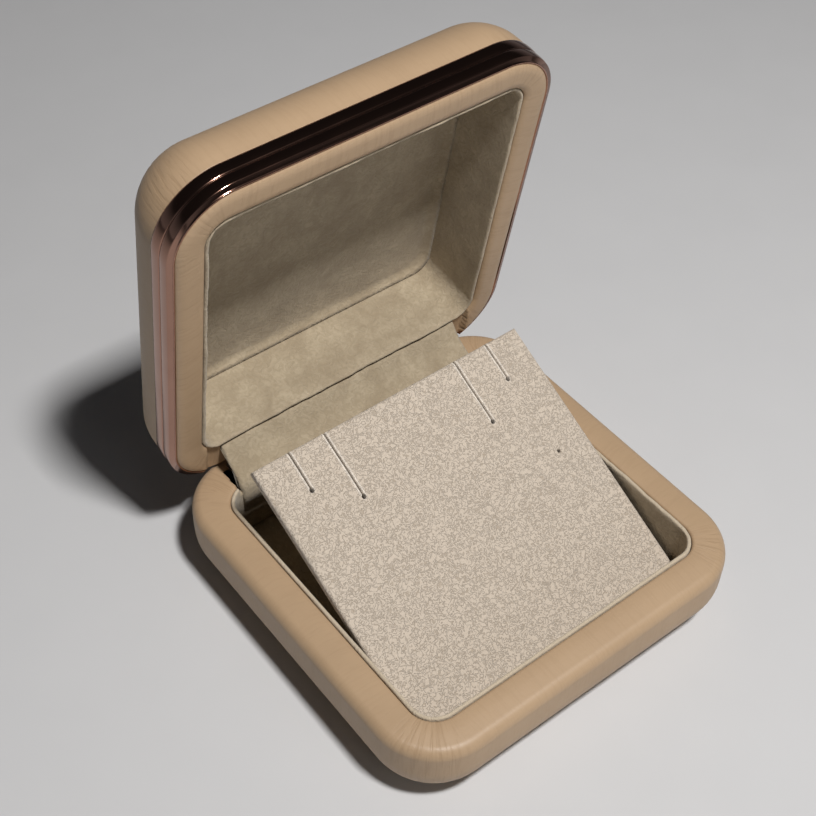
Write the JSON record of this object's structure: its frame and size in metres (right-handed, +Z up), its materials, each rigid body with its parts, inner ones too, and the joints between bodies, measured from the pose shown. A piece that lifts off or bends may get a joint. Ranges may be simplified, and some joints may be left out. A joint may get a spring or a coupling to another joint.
{
  "type": "hinged pendant box",
  "caption": "Leather-covered hinged jewellery box with a metal band round the lid, suede lining and a tilted, slotted pad for a pendant and its chain.",
  "frame": {"origin": "centre of the flat underside of the base, on the table", "axes": "+Z up, -Y towards the front edge the user opens, +Y towards the hinge, +X to the user's right when facing the front"},
  "size_m": [0.09, 0.1068, 0.1068],
  "materials": {
    "leather": "smooth semi-matt, fine grain",
    "suede": "short matt nap",
    "rose_gold": "polished rose-gold plate",
    "shell": "moulded, matt",
    "steel": "plated steel",
    "card": "grey-brown board",
    "paper": "matt paper",
    "foam": "thin open-cell foam",
    "cover_cloth": "flocked cloth"
  },
  "bodies": {
    "base": {"base_shell": "shell", "base_leather": "leather", "base_bottom_cover": "cover_cloth", "base_floor_card": "card", "base_floor_lining": "suede", "base_wall_lining": "suede", "hinge_base_leaf": "steel", "hinge_pin": "steel", "hinge_spring": "steel", "hinge_base_rivets": "steel", "hinge_cover": "suede", "pad_leg": "suede"},
    "lid": {"lid_shell": "shell", "lid_crown_leather": "leather", "lid_band": "rose_gold", "lid_rim_leather": "leather", "lid_wall_lining": "suede", "lid_top_lining": "suede", "lid_top_foam": "foam", "hinge_lid_leaf": "steel", "hinge_lid_rivets": "steel"},
    "pad": {"pad_suede": "suede", "pad_board": "card", "pad_backing": "paper"}
  },
  "joints": [
    {"name": "lid_hinge", "type": "hinge", "parent": "base", "child": "lid", "pos_m": [0, 0.04245, 0.0193], "axis": [1, 0, 0], "range_deg": [0, 80], "deforming": ["hinge_cover"]},
    {"name": "pad_tilt", "type": "hinge", "parent": "base", "child": "pad", "pos_m": [0, -0.035, 0.004], "axis": [1, 0, 0], "range_deg": [-25.5, 0], "deforming": ["pad_leg"]}
  ]
}
